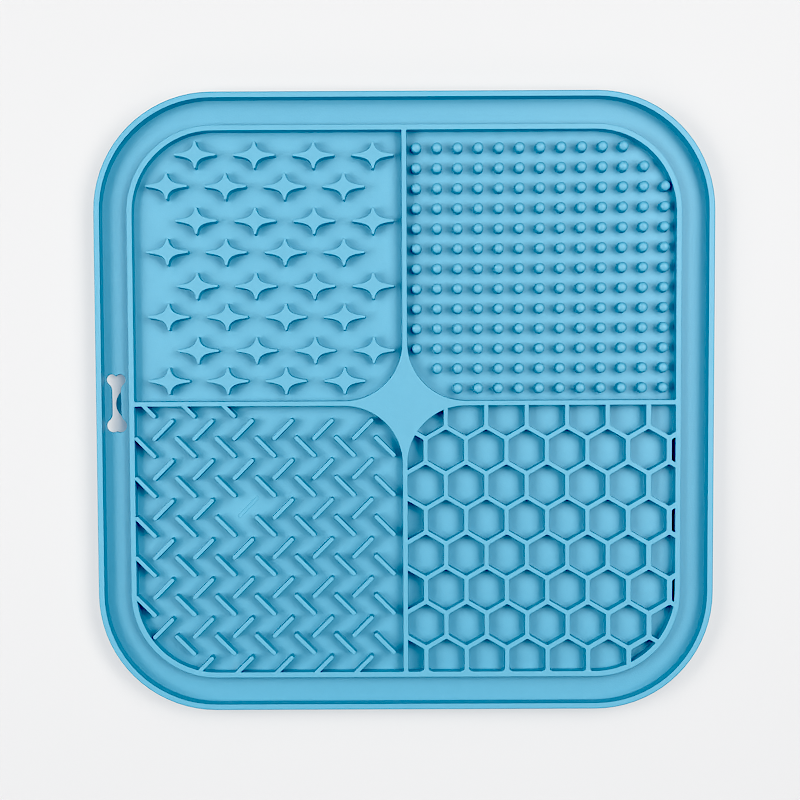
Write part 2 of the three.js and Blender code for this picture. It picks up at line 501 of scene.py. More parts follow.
@dataclass(frozen=True)
class Compartments:
    """The four pockets inside the border, with the cross and the centre star between them.

    Attributes:
        reach: distance from the mat's middle to the far sides of the pockets.
        divider: width of the walls of the cross.
        outer_corner: radius of each pocket's corner at the mat's corner.
        centre_arc: radius of each pocket's corner at the centre star.
        nook: radius of each pocket's two other corners.
        edge: how the walls fall to the pockets' floor.
        arc_steps: straight pieces of each corner.
        side_steps: straight pieces of each side.
    """

    reach: float = 88.0
    divider: float = 1.6
    outer_corner: float = 26.2
    centre_arc: float = 19.0
    nook: float = 0.35
    edge: RaisedEdge = RaisedEdge(fillet=0.05)
    arc_steps: int = 16
    side_steps: int = 20

    def radii(self) -> np.ndarray:
        """Corner radii of a pocket, from the centre star round by the X side."""
        return np.array([self.centre_arc, self.nook, self.outer_corner, self.nook])

    def outlines(self) -> tuple[np.ndarray, np.ndarray]:
        """Outlines of the four pockets: one square with round corners, mirrored.

        Returns:
            The points and the direction into the pocket at each, both 4 by n by 2.
        """
        low, high = self.divider / 2, self.reach
        corners = np.array([[low, low], [high, low], [high, high], [low, high]])
        points, normals = rounded_polygon(corners, self.radii(), self.arc_steps, self.side_steps)
        signs = np.array([q.value for q in Quarter], float)[:, None]
        return points[None] * signs, -normals[None] * signs

    def distance(self, points: np.ndarray, quarter: Quarter | None = None) -> np.ndarray:
        """Distance of points into a pocket, less than nothing outside it.

        It is that of a square with four corner radii: the radius of the nearest corner
        less the distance to the square that is smaller by that radius on each side.

        Args:
            points: the places, X and Y last.
            quarter: the one pocket meant, or None for whichever is on that side.

        Returns:
            The distances.
        """
        middle = (self.divider / 2 + self.reach) / 2
        half = (self.reach - self.divider / 2) / 2
        local = (np.abs(points) if quarter is None else points * quarter.value) - middle
        centre, nook_x, outer, nook_y = self.radii()
        left, low = local[..., 0] < 0, local[..., 1] < 0
        radius = np.where(left, np.where(low, centre, nook_y), np.where(low, nook_x, outer))
        gap = np.abs(local) - half + radius[..., None]
        past = np.linalg.norm(np.maximum(gap, 0), axis=-1)
        return radius - past - np.minimum(gap.max(-1), 0)

    def rings(self) -> Rings:
        """Rings down the inner side of the walls, all round each pocket."""
        points, inward = self.outlines()
        return sweep(points, inward, self.edge.profile())


# Forms in the compartments

@dataclass(frozen=True)
class Spread:
    """How far the forms of the real moulding stand outwards of even grids.

    Attributes:
        reach: half the mat's side, where the largest move would be.
        largest: the largest move.
        strip_start: X where the strip at the right side starts.
        strip_gain: the further move there, for the square of a millimetre into the strip.
    """

    reach: float = 100.0
    largest: float = 1.0
    strip_start: float = 60.0
    strip_gain: float = 0.0005

    def moved(self, centres: np.ndarray) -> np.ndarray:
        """Centres of forms, moved from an even grid to their own places.

        With X and Y as shares of the reach, X grows by X times Y squared and Y by Y times
        X squared, each times the largest move. In the strip X also grows by the gain
        times the square of how far in it lies.

        Args:
            centres: places on the even grid, n by 2.

        Returns:
            The places to use, n by 2.
        """
        part = centres / self.reach
        strip = np.clip(centres[:, 0] - self.strip_start, 0, None)
        moved = centres + self.largest * part * part[:, ::-1] ** 2
        moved[:, 0] += self.strip_gain * strip**2
        return moved


def grid_row(first: tuple[float, float], pitch: tuple[float, float], row: int, cols: range) -> np.ndarray:
    """Centres of one row of a grid that starts at the upper left.

    Args:
        first: place of the grid's first form.
        pitch: distance between columns and between rows.
        row: number of the row, counted downwards from nothing.
        cols: the columns that have a form.

    Returns:
        The places, n by 2.
    """
    x = first[0] + pitch[0] * np.arange(cols.start, cols.stop)
    return np.stack([x, np.full(len(x), first[1] - pitch[1] * row)], 1)


@dataclass(frozen=True)
class StarField:
    """Four-pointed stars with hollow flanks and blunt tips.

    Attributes:
        row_starts: place of the first star of each row.
        pitch: distance between the stars of a row.
        columns: stars in each row.
        long_reach: distance from a star's middle to its tips on the left and right.
        short_reach: distance from a star's middle to its upper and lower tip.
        tip: radius of the tips.
        long_pull: the point that draws a flank in near a side tip.
        short_pull: the point that draws it in near the upper or lower tip.
        flank_steps: straight pieces of each flank.
        tip_steps: straight pieces of each quarter of a tip.
        edge: how a star falls to the floor.
    """

    row_starts: tuple[tuple[float, float], ...] = (
        (-67.05, 80.05), (-76.45, 70.0), (-67.05, 59.0), (-76.5, 48.95),
        (-67.05, 38.05), (-76.45, 28.1), (-67.0, 17.25), (-76.5, 7.4),
    )
    pitch: float = 19.0
    columns: int = 4
    long_reach: float = 6.8
    short_reach: float = 4.4
    tip: float = 0.42
    long_pull: tuple[float, float] = (2.6, 0.85)
    short_pull: tuple[float, float] = (0.8, 1.35)
    flank_steps: int = 10
    tip_steps: int = 2
    edge: RaisedEdge = RaisedEdge(draft=1.0)

    def centres(self) -> np.ndarray:
        """The middle of every star."""
        rows = [grid_row(s, (self.pitch, 0), 0, range(self.columns)) for s in self.row_starts]
        return Spread().moved(np.concatenate(rows))

    def outline(self) -> tuple[np.ndarray, np.ndarray]:
        """Outline of one star about its middle.

        Each flank is a curve of the third degree from the side of one tip to the side of
        the next. With t from nothing to one, it is the start times (1 - t) cubed plus the
        long pull times 3 t (1 - t) squared plus the short pull times 3 t squared (1 - t)
        plus the end times t cubed. A tip is a half circle.

        Returns:
            The points and the direction away from the star at each, both n by 2.
        """
        t = np.linspace(0, 1, self.flank_steps + 1)[:, None]
        start = np.array([self.long_reach - self.tip, self.tip])
        end = np.array([self.tip, self.short_reach - self.tip])
        near, far = np.array(self.long_pull), np.array(self.short_pull)
        ends = (1 - t) ** 3 * start + t**3 * end
        flank = ends + 3 * t * (1 - t) ** 2 * near + 3 * t**2 * (1 - t) * far
        swing = np.linspace(0, np.pi / 2, self.tip_steps + 1)[:, None]
        round_tip = np.concatenate([np.cos(swing), np.sin(swing)], 1) * self.tip
        side_tip = round_tip + [self.long_reach - self.tip, 0]
        top_tip = round_tip + [0, self.short_reach - self.tip]
        quarter = np.concatenate([side_tip[:-1], flank, top_tip[1:]])
        half = np.concatenate([quarter, quarter[-2::-1] * [-1, 1]])
        points = np.concatenate([half, half[1:-1][::-1] * [1, -1]])
        along = np.roll(points, -1, 0) - np.roll(points, 1, 0)
        normal = np.stack([along[:, 1], -along[:, 0]], 1)
        return points, normal / np.linalg.norm(normal, axis=1, keepdims=True)

    def rings(self) -> Rings:
        """Rings down every star.

        Returns:
            The rings of all stars.
        """
        points, away = self.outline()
        centres = self.centres()
        outlines = centres[:, None] + points[None]
        return sweep(outlines, np.broadcast_to(away, outlines.shape), self.edge.profile())


@dataclass(frozen=True)
class NubField:
    """Round nubs with domed tops.

    Attributes:
        first: place of the grid's first nub.
        pitch: distance between columns and between rows.
        rows: rows of the grid.
        columns: columns of the grid.
        spans: the rows that are shorter: row, first column and the column after the last.
        radius: radius of a nub below its dome.
        dome: height of the dome.
        dome_start: angle on the dome of its innermost ring, in degrees.
        dome_steps: rings of the dome.
        sides: points round a nub.
        edge: how a nub falls to the floor.
    """

    first: tuple[float, float] = (3.95, 82.32)
    pitch: tuple[float, float] = (6.645, 6.46)
    rows: int = 13
    columns: int = 13
    spans: tuple[tuple[int, int, int], ...] = ((0, 0, 11), (1, 0, 12), (11, 1, 13), (12, 2, 13))
    radius: float = 1.64
    dome: float = 0.95
    dome_start: float = 66.0
    dome_steps: int = 5
    sides: int = 14
    edge: RaisedEdge = RaisedEdge(fillet_steps=2)

    def centres(self) -> np.ndarray:
        """The middle of every nub. A few rows are cut short by the round corners.

        Returns:
            The places, row by row from the top.
        """
        short = {row: range(start, stop) for row, start, stop in self.spans}
        rows = [
            grid_row(self.first, self.pitch, row, short.get(row, range(self.columns)))
            for row in range(self.rows)
        ]
        return Spread().moved(np.concatenate(rows))

    def profile(self) -> Profile:
        """Cross-section from near the middle of the dome to the floor.

        The dome is a quarter ellipse: the distance from the middle is the radius times
        cos a and the height is the shoulder's plus the dome's times sin a. The tangent of
        its normal's tilt is (sin a over the dome's height) over (cos a over the radius).

        Returns:
            The profile, with offsets from the nub's middle.
        """
        lean = math.radians(self.edge.draft)
        angle = np.linspace(math.radians(self.dome_start), lean, self.dome_steps)
        shoulder = WALL_TOP - self.dome
        tilt = np.arctan2(np.sin(angle) / self.dome, np.cos(angle) / self.radius)
        dome = Profile(self.radius * np.cos(angle), shoulder + self.dome * np.sin(angle), tilt)
        return chain(dome, self.edge.foot_turn(float(dome.offset[-1]), float(dome.height[-1])))

    def rings(self) -> Rings:
        """Rings down every nub, and a point at the top of each.

        Returns:
            The rings. The tops are points without links, at the end.
        """
        centres = self.centres()
        angle = np.arange(self.sides) * 2 * np.pi / self.sides
        away = np.stack([np.cos(angle), np.sin(angle)], 1)
        outlines = np.broadcast_to(centres[:, None], (len(centres), self.sides, 2))
        rings = sweep(outlines, np.broadcast_to(away, outlines.shape), self.profile())
        number = len(centres)
        tops = Rings(
            centres,
            np.full(number, WALL_TOP),
            np.tile([0.0, 0.0, 1.0], (number, 1)),
            np.zeros(number),
            np.zeros((0, 2), int),
        )
        return gather([rings, tops])


@dataclass(frozen=True)
class RidgeField:
    """Short straight ridges in a herringbone, with a faint mark where one is missing.

    Attributes:
        width: width of a ridge.
        run: distance along X that the middle line of a ridge covers, between its round ends.
        slip: how far each row moves to the right of the one above.
        corner: radius of a ridge's corners.
        pitch: distance between columns and between rows.
        firsts: place of the first ridge of each lean.
        spans: the rows: lean, row, first column and the column after the last.
        missing: place of the missing ridge.
        mark_inset: how far the line of the mark lies inside that ridge's outline.
        mark_height: height of that line.
        mark_half: half its width.
        mark_tilt: lean of its sides' normals, in degrees.
        arc_steps: straight pieces of each corner.
        side_steps: straight pieces of each side.
        edge: how a ridge falls to the floor.
    """

    width: float = 1.42
    run: float = 5.65
    slip: float = -0.04
    corner: float = 0.62
    pitch: tuple[float, float] = (13.0, 12.94)
    firsts: tuple[tuple[Lean, tuple[float, float]], ...] = (
        (Lean.RISING, (-78.75, -8.35)),
        (Lean.FALLING, (-84.55, -14.0)),
    )
    spans: tuple[tuple[Lean, int, int, int], ...] = (
        (Lean.RISING, 0, 0, 6), (Lean.RISING, 1, 0, 6), (Lean.RISING, 2, 0, 2), (Lean.RISING, 2, 3, 6),
        (Lean.RISING, 3, 0, 6), (Lean.RISING, 4, 0, 6), (Lean.RISING, 5, 0, 6), (Lean.RISING, 6, 1, 6),
        (Lean.FALLING, -1, 0, 3), (Lean.FALLING, 0, 0, 7), (Lean.FALLING, 1, 0, 7),
        (Lean.FALLING, 2, 0, 7), (Lean.FALLING, 3, 0, 7), (Lean.FALLING, 4, 0, 7),
        (Lean.FALLING, 5, 1, 7),
    )
    missing: tuple[float, float] = (-51.6, -33.8)
    mark_inset: float = 0.15
    mark_height: float = 0.15
    mark_half: float = 0.3
    mark_tilt: float = 36.0
    arc_steps: int = 3
    side_steps: int = 2
    edge: RaisedEdge = RaisedEdge(crown=0.25)

    def half_sizes(self) -> tuple[float, float]:
        """Half the length and half the width of a ridge."""
        return math.hypot(self.run, self.run) / 2 + self.width / 2, self.width / 2

    def placed(self) -> tuple[np.ndarray, np.ndarray]:
        """Where the ridges stand.

        Returns:
            The middle of every ridge, n by 2, and which way it leans, as 1 or -1.
        """
        first = dict(self.firsts)
        rows = [
            grid_row(first[lean], self.pitch, row, range(a, b)) + [self.slip * row, 0]
            for lean, row, a, b in self.spans
        ]
        leans = [np.full(b - a, lean.value) for lean, _, a, b in self.spans]
        return Spread().moved(np.concatenate(rows)), np.concatenate(leans)

    def outline(self, grow: float = 0.0) -> tuple[np.ndarray, np.ndarray]:
        """Outline of one ridge that lies along X, about its middle.

        Args:
            grow: how much larger it is all round.

        Returns:
            The points and the direction away from the ridge at each, both n by 2.
        """
        half_long, half_wide = self.half_sizes()
        corners = np.array([[1, -1], [1, 1], [-1, 1], [-1, -1]]) * [half_long + grow, half_wide + grow]
        return rounded_polygon(corners, np.full(4, self.corner + grow), self.arc_steps, self.side_steps)

    def turned(self, shape: np.ndarray, leans: np.ndarray) -> np.ndarray:
        """A shape along X, turned by 45 degrees to each lean.

        Args:
            shape: points or directions, n by 2.
            leans: the leans, as 1 or -1.

        Returns:
            One turned shape for each lean, k by n by 2.
        """
        x, y = shape[None, :, 0], shape[None, :, 1]
        sine = leans[:, None] * DIAGONAL
        return np.stack([x * DIAGONAL - y * sine, x * sine + y * DIAGONAL], -1)

    def distance(self, points: np.ndarray) -> np.ndarray:
        """Distance of points from the nearest ridge, less than nothing on one.

        It is the distance to a box that is smaller by the corner's radius on each side,
        less that radius.

        Args:
            points: the places, n by 2.

        Returns:
            The distances.
        """
        centres, leans = self.placed()
        gap = points[:, None] - centres[None]
        along = np.abs(gap[..., 0] * DIAGONAL + gap[..., 1] * leans * DIAGONAL)
        across = np.abs(gap[..., 1] * DIAGONAL - gap[..., 0] * leans * DIAGONAL)
        half_long, half_wide = self.half_sizes()
        box = np.stack([along - half_long, across - half_wide], -1) + self.corner
        past = np.linalg.norm(np.maximum(box, 0), axis=-1)
        return (past + np.minimum(box.max(-1), 0) - self.corner).min(1)

    def rings(self) -> Rings:
        """Rings down every ridge, and those of the low mark of the missing one.

        Returns:
            The rings, ridge by ridge, with the mark's last.
        """
        centres, leans = self.placed()
        points, away = self.outline()
        outlines = centres[:, None] + self.turned(points, leans)
        return gather([sweep(outlines, self.turned(away, leans), self.edge.profile()), self.mark()])

    def mark(self) -> Rings:
        """A low raised line along the outline of the missing ridge.

        With a share from -1 to 1 across the line, its height is the mark's times one less
        the share's size. Its normal leans by the mark's tilt times the sine of the share
        times 180 degrees, so that it is upright at the line's middle and both feet.

        Returns:
            The rings of the line.
        """
        lean = np.array([Lean.RISING.value])
        points, away = self.outline(-self.mark_inset)
        outline = np.array(self.missing) + self.turned(points, lean)
        share = np.array([-1.0, -0.5, 0.0, 0.5, 1.0])
        line = Profile(
            share * self.mark_half,
            (1 - np.abs(share)) * self.mark_height + FLOOR_TOP,
            np.radians(90 - np.sin(share * np.pi) * self.mark_tilt),
        )
        return sweep(outline, self.turned(away, lean), line)


@dataclass(frozen=True)
class Honeycomb:
    """Six-sided cells between thin walls, all over one compartment.

    Attributes:
        wall: width of the walls.
        pitch: distance between columns and between rows.
        first: place of the grid's first cell, in column nothing.
        rows: rows of cells.
        columns: columns of cells. Those outside the compartment are left out.
        corner: radius of a cell's corners.
        arc_steps: straight pieces of each corner.
        side_steps: straight pieces of each side.
        edge: how the walls fall to the floor.
    """

    wall: float = 1.45
    pitch: tuple[float, float] = (13.16, 11.43)
    first: tuple[float, float] = (6.68, -3.93)
    rows: int = 8
    columns: range = range(-1, 7)
    corner: float = 0.75
    arc_steps: int = 3
    side_steps: int = 2
    edge: RaisedEdge = RaisedEdge(crown=0.22, fillet=0.06)

    def sizes(self) -> tuple[float, float]:
        """Half sizes of a cell.

        The columns' pitch is a cell's width and a wall's. The rows' pitch is one and a
        half times the half height, and a wall's width times the cosine of 30 degrees.

        Returns:
            Half its width between the upright sides, and half its height.
        """
        flat = (self.pitch[0] - self.wall) / 2
        rise = (self.pitch[1] - self.wall * math.cos(math.pi / 6)) * 2 / 3
        return flat, rise

    def centres(self) -> np.ndarray:
        """The middle of every cell. Odd rows are shifted by half a cell.

        Returns:
            The places, row by row from the top.
        """
        shifts = [self.pitch[0] / 2 * (row % 2) for row in range(self.rows)]
        rows = [
            grid_row((self.first[0] + shift, self.first[1]), self.pitch, row, self.columns)
            for row, shift in enumerate(shifts)
        ]
        return Spread().moved(np.concatenate(rows))

    def distance(self, points: np.ndarray) -> np.ndarray:
        """Distance of points into a cell, less than nothing over a wall.

        It is half the cell's width less the largest reach along its three face normals.

        Args:
            points: the places, n by 2.

        Returns:
            The distances.
        """
        flat, _ = self.sizes()
        angle = np.radians([0, 60, 120])
        faces = np.stack([np.cos(angle), np.sin(angle)])
        reach = np.abs((points[:, None] - self.centres()[None]) @ faces).max(-1)
        return (flat - reach).max(1)

    def rings(self, compartments: Compartments) -> Rings:
        """Rings down the walls of every cell that opens in the compartment.

        Args:
            compartments: the pockets, one of which the cells fill.

        Returns:
            The rings, some of them partly outside the compartment.
        """
        flat, rise = self.sizes()
        left = [[0, rise], [-flat, rise / 2], [-flat, -rise / 2]]
        corners = np.array(left + [[0, -rise], [flat, -rise / 2], [flat, rise / 2]])
        points, normals = rounded_polygon(corners, np.full(6, self.corner), self.arc_steps, self.side_steps)
        outlines = self.centres()[:, None] + points[None]
        opens = (compartments.distance(outlines, Quarter.CELLS) > 0).any(1)
        outlines = outlines[opens]
        return sweep(outlines, np.broadcast_to(-normals, outlines.shape), self.edge.profile())


@dataclass(frozen=True)
class Knob:
    """One end of the bone: two round lobes side by side.

    Attributes:
        radius: radius of each lobe.
        spread: distance of each lobe's centre from the bone's axis.
        reach: distance from the bone's middle to the far side of the lobes.
        shift: how far the pair stands to the right of the axis.
    """

    radius: float
    spread: float
    reach: float
    shift: float


@dataclass(frozen=True)
class HangSlot:
    """A bone-shaped slot through the gutter floor.

    Attributes:
        centre: place of the bone's middle.
        shaft: width of the shaft.
        upper: the bone's upper end.
        lower: the bone's lower end.
        flare: radius of the hollow arcs between the shaft and the lobes.
        lip: largest width of the thin lip at the foot of the shaft's right side.
        lip_reach: half the length of the lip.
        lip_drop: how far the lip's middle lies below the bone's.
        edge_round: radius that rounds the slot's upper edge.
        draft: how much narrower the slot is at its foot, on each side.
        side_tilt: tilt of the side's normal at its foot, in radians.
        lobe_steps: straight pieces of each lobe.
        flare_steps: straight pieces of each hollow arc.
        shaft_steps: straight pieces of each quarter of the shaft.
        edge_steps: straight pieces of the rounded edge.
    """

    centre: tuple[float, float] = (-94.57, 0.29)
    shaft: float = 3.25
    upper: Knob = Knob(1.85, 1.42, 9.56, -0.16)
    lower: Knob = Knob(2.25, 1.18, 9.56, -0.05)
    flare: float = 2.6
    lip: float = 2.0
    lip_reach: float = 4.3
    lip_drop: float = 0.2
    edge_round: float = 0.15
    draft: float = 0.05
    side_tilt: float = 0.05
    lobe_steps: int = 12
    flare_steps: int = 5
    shaft_steps: int = 5
    edge_steps: int = 4

    def half(self, knob: Knob, grow: float) -> np.ndarray:
        """Half of the bone's outline above its middle, from the right side to the left.

        Its right part is the side of the shaft, then an arc of the flare to where the
        lobe touches it, then an arc of the lobe round to the notch. Both arcs keep
        their centres as the outline grows. The left part is the same, mirrored. The
        points move sideways by the knob's shift in proportion to their height.

        Args:
            knob: the lobes at that end.
            grow: distance outwards from the slot's own edge.

        Returns:
            The points, counter-clockwise.
        """
        lobe, flare = knob.radius + grow, self.flare - grow
        reach = knob.reach - knob.radius
        flare_x = self.shaft / 2 + self.flare
        drop = math.sqrt((knob.radius + self.flare) ** 2 - (flare_x - knob.spread) ** 2)
        notch = math.acos(-knob.spread / lobe)
        touch = math.atan2(drop, knob.spread - flare_x)
        round_lobe = np.linspace(touch - math.pi, notch, self.lobe_steps + 1)
        lobe_arc = np.stack([np.cos(round_lobe), np.sin(round_lobe)], 1) * lobe + [knob.spread, reach]
        round_flare = np.linspace(math.pi, touch, self.flare_steps + 1)[:-1]
        flare_arc = np.stack([np.cos(round_flare), np.sin(round_flare)], 1) * flare
        flare_arc = flare_arc + [flare_x, reach - drop]
        side = np.linspace(0, flare_arc[0, 1], self.shaft_steps + 1)[:-1, None]
        shaft = np.concatenate([np.full_like(side, flare_arc[0, 0]), side], 1)
        quarter = np.concatenate([shaft, flare_arc, lobe_arc])
        half = np.concatenate([quarter, quarter[-2::-1] * [-1, 1]])
        return half + half[:, 1:] * [knob.shift / knob.reach, 0]

    def outline(self, grow: float) -> np.ndarray:
        """The bone's outline.

        Args:
            grow: distance outwards from the slot's own edge.

        Returns:
            The points, counter-clockwise, n by 2.
        """
        above = self.half(self.upper, grow)
        below = self.half(self.lower, grow)[-2:0:-1] * [1, -1]
        return np.concatenate([above, below]) + self.centre

    def bulge(self, outline: np.ndarray) -> np.ndarray:
        """How far the thin lip at the foot of the shaft's right side reaches in.

        It is the lip's largest width times one less the square of the distance from its
        own middle over its reach.

        Args:
            outline: points of the slot's outline, n by 2.

        Returns:
            The lip's width at each point.
        """
        beside = outline - self.centre + [0, self.lip_drop]
        part = np.clip(1 - (beside[:, 1] / self.lip_reach) ** 2, 0, None)
        return np.where(beside[:, 0] > 0, self.lip * part, 0.0)

    def edges(self) -> Profile:
        """The slot's rounded upper edge, from the gutter inwards, above its own lowest ring."""
        return turn((self.edge_round, 0.0), self.edge_round, 90, 180, self.edge_steps)

    def rings(self, border: Border) -> Rings:
        """Rings from the gutter's surface over the rounded edge and down to the underside.

        Args:
            border: the border that the slot goes through.

        Returns:
            The rings, from the outermost to the one at the foot.
        """
        rounding = self.edges()
        gutter = border.profile()
        offsets = [float(o) for o in rounding.offset] + [-self.draft]
        outlines = np.stack([self.outline(o) for o in offsets])
        surface = gutter.height_at(border.inset(outlines))
        outlines[-1, :, 0] -= self.bulge(outlines[-1])
        drop = np.append(rounding.height - self.edge_round, 0.0)
        height = surface + drop[:, None]
        height[-1] = 0.0
        along = np.roll(outlines, -1, 1) - np.roll(outlines, 1, 1)
        inward = np.stack([-along[..., 1], along[..., 0]], -1)
        inward = inward / np.linalg.norm(inward, axis=-1, keepdims=True)
        tilt = np.append(np.pi - rounding.tilt, self.side_tilt)[:, None, None]
        flat = inward * np.cos(tilt)
        up = np.broadcast_to(np.sin(tilt), flat.shape[:-1] + (1,))
        count = outlines.shape[1]
        return Rings(
            outlines.reshape(-1, 2),
            height.reshape(-1),
            np.concatenate([flat, up], -1).reshape(-1, 3),
            np.repeat(offsets, count),
            ring_links(len(offsets), count),
            count,
        )


# The moulding

@dataclass(frozen=True)
class Skin:
    """Points, normals and triangles of the finished moulding.

    Attributes:
        points: place of each point.
        faces: the three points of each triangle.
        corner_normals: the surface's normal at each corner of each triangle.
        painted_shade: 1 at the points of the slot's lip, where a darker blue is painted as shade, and 0
            elsewhere.
    """

    points: np.ndarray
    faces: np.ndarray
    corner_normals: np.ndarray
    painted_shade: np.ndarray


@dataclass(frozen=True)
class UpperFace:
    """The upper face of the moulding, before it is closed from below.

    Attributes:
        points: place of each point.
        normals: the surface's normal at each point.
        faces: the three points of each triangle.
        outer: indices of the ring round the outer edge.
        slot: indices of the slot's two lowest rings, ring by ring.
    """

    points: np.ndarray
    normals: np.ndarray
    faces: np.ndarray
    outer: np.ndarray
    slot: np.ndarray


def triangulate(points: np.ndarray, links: np.ndarray) -> tuple[np.ndarray, np.ndarray, np.ndarray]:
    """Joins points in the plane with triangles that keep every link as an edge.

    Args:
        points: the places, n by 2.
        links: pairs of points that stay joined.

    Returns:
        The places once crossings are added, the triangles, counter-clockwise, and for
        each place the index of the point that it came from, or -1 at a crossing.
    """
    nearness = 1e-5
    places, _, faces, origins, _, _ = delaunay_2d_cdt(points.tolist(), links.tolist(), [], 0, nearness)
    places = np.array([tuple(p) for p in places])
    faces = np.array(faces, int)
    source = np.array([o[0] if o else -1 for o in origins])
    a, b, c = places[faces[:, 0]], places[faces[:, 1]], places[faces[:, 2]]
    area = (b[:, 0] - a[:, 0]) * (c[:, 1] - a[:, 1]) - (b[:, 1] - a[:, 1]) * (c[:, 0] - a[:, 0])
    faces[area < 0] = faces[area < 0][:, ::-1]
    return places, faces, source


def band(levels: np.ndarray) -> np.ndarray:
    """Triangles that join closed rings of as many points, one below the other.

    Each field between two rings and two neighbours gives two triangles.

    Args:
        levels: indices of the points, ring by ring from the top.

    Returns:
        The three points of each triangle, facing out where the rings run counter-clockwise.
    """
    upper, lower = levels[:-1], levels[1:]
    next_upper, next_lower = np.roll(upper, -1, 1), np.roll(lower, -1, 1)
    return np.concatenate([
        np.stack([upper, lower, next_lower], -1).reshape(-1, 3),
        np.stack([upper, next_lower, next_upper], -1).reshape(-1, 3),
    ])


# Nodes of the finishes and of the picture's treatment

def set_inputs(node: bpy.types.Node, values: dict[str, float | tuple[float, ...]]) -> None:
    """Sets some inputs of a node.

    Args:
        node: the node.
        values: the value of each input by its name. A colour has three numbers.
    """
    for name, value in values.items():
        socket = node.inputs[name]
        socket.default_value = (*value, 1.0) if socket.type == "RGBA" else value


def add_node(
    tree: bpy.types.NodeTree, kind: str, values: dict[str, float | tuple[float, ...]] | None = None,
    **settings: str,
) -> bpy.types.Node:
    """Adds a node and sets it up.

    Args:
        tree: the nodes that it joins.
        kind: type name of the node.
        values: the value of some inputs, by name.
        settings: the node's own settings, which come before its inputs.

    Returns:
        The node.
    """
    node = tree.nodes.new(kind)
    for name, setting in settings.items():
        setattr(node, name, setting)
    set_inputs(node, values or {})
    return node


def join(tree: bpy.types.NodeTree, *pairs: tuple[bpy.types.NodeSocket, bpy.types.NodeSocket]) -> None:
    """Links nodes.

    Args:
        tree: the nodes.
        pairs: each an output and the input that it feeds.
    """
    for source, target in pairs:
        tree.links.new(source, target)


def blank_finish(name: str) -> tuple[bpy.types.Material, bpy.types.Node]:
    """A new material.

    Args:
        name: its name.

    Returns:
        The material and its one shader.
    """
    material = bpy.data.materials.new(name)
    material.use_nodes = True
    return material, material.node_tree.nodes["Principled BSDF"]


@dataclass(frozen=True)
class Silicone:
    """Soft matt silicone, a little see-through at its edges.

    Attributes:
        name: name of the material.
        colour: the lighter of its two blues.
        deeper: the darker one.
        painted_shade_colour: the darker blue painted on the slot's lip as shade.
        roughness: roughness of the surface.
        gloss: strength of the reflections.
        glow: share of the light that goes in and comes out beside it.
        glow_reach: how far that light goes, in metres.
        glow_shares: how far its red, green and blue go, as shares of that.
        cloud_scale: clouds of the two blues in a metre.
        cloud_detail: finer layers of these clouds.
        cloud_roughness: strength of each finer layer.
        grain_size: size of the grain, in metres.
        grain_detail: finer layers of the grain.
        grain_depth: depth of the grain, in metres.
        grain_strength: share of that depth that shows.
    """

    name: str = "silicone"
    colour: tuple[float, float, float] = (0.113, 0.350, 0.478)
    deeper: tuple[float, float, float] = (0.098, 0.315, 0.435)
    # Painted shade: the darker blue that stands for the shadow on the slot's lip
    painted_shade_colour: tuple[float, float, float] = (0.13, 0.30, 0.40)
    roughness: float = 0.52
    gloss: float = 0.9
    glow: float = 0.06
    glow_reach: float = 0.0008
    glow_shares: tuple[float, float, float] = (0.4, 0.8, 1.0)
    cloud_scale: float = 240.0
    cloud_detail: float = 7.0
    cloud_roughness: float = 0.75
    grain_size: float = 0.0005
    grain_detail: float = 2.0
    grain_depth: float = 0.00005
    grain_strength: float = 0.5

    def material(self) -> bpy.types.Material:
        """The finish: two near blues mixed by soft clouds, a darker blue painted on the slot's lip as
        shade, and a fine grain.

        Returns:
            The material.
        """
        material, shader = blank_finish(self.name)
        tree = material.node_tree
        set_inputs(shader, {
            "Roughness": self.roughness,
            "Specular IOR Level": self.gloss,
            "Subsurface Weight": self.glow,
            "Subsurface Scale": self.glow_reach,
            "Subsurface Radius": self.glow_shares,
        })
        where = add_node(tree, "ShaderNodeTexCoord")
        clouds = add_node(tree, "ShaderNodeTexNoise", {
            "Scale": self.cloud_scale, "Detail": self.cloud_detail, "Roughness": self.cloud_roughness,
        })
        tint = add_node(tree, "ShaderNodeMix", {"A": self.colour, "B": self.deeper}, data_type="RGBA")
        # Painted shade: the slot's lip, marked in the mesh, gets a darker blue for the shadow it lies in
        painted_shade = add_node(tree, "ShaderNodeAttribute", attribute_name=PAINTED_SHADE)
        lip = add_node(tree, "ShaderNodeMix", {"B": self.painted_shade_colour}, data_type="RGBA")
        grain = add_node(tree, "ShaderNodeTexNoise", {
            "Scale": 1 / self.grain_size, "Detail": self.grain_detail,
        })
        bump = add_node(tree, "ShaderNodeBump", {
            "Strength": self.grain_strength, "Distance": self.grain_depth,
        })
        join(
            tree,
            (where.outputs["Object"], clouds.inputs["Vector"]),
            (where.outputs["Object"], grain.inputs["Vector"]),
            (clouds.outputs["Fac"], tint.inputs["Factor"]),
            (tint.outputs["Result"], lip.inputs["A"]),
            (painted_shade.outputs["Fac"], lip.inputs["Factor"]),
            (lip.outputs["Result"], shader.inputs["Base Color"]),
            (grain.outputs["Fac"], bump.inputs["Height"]),
            (bump.outputs["Normal"], shader.inputs["Normal"]),
        )
        return material


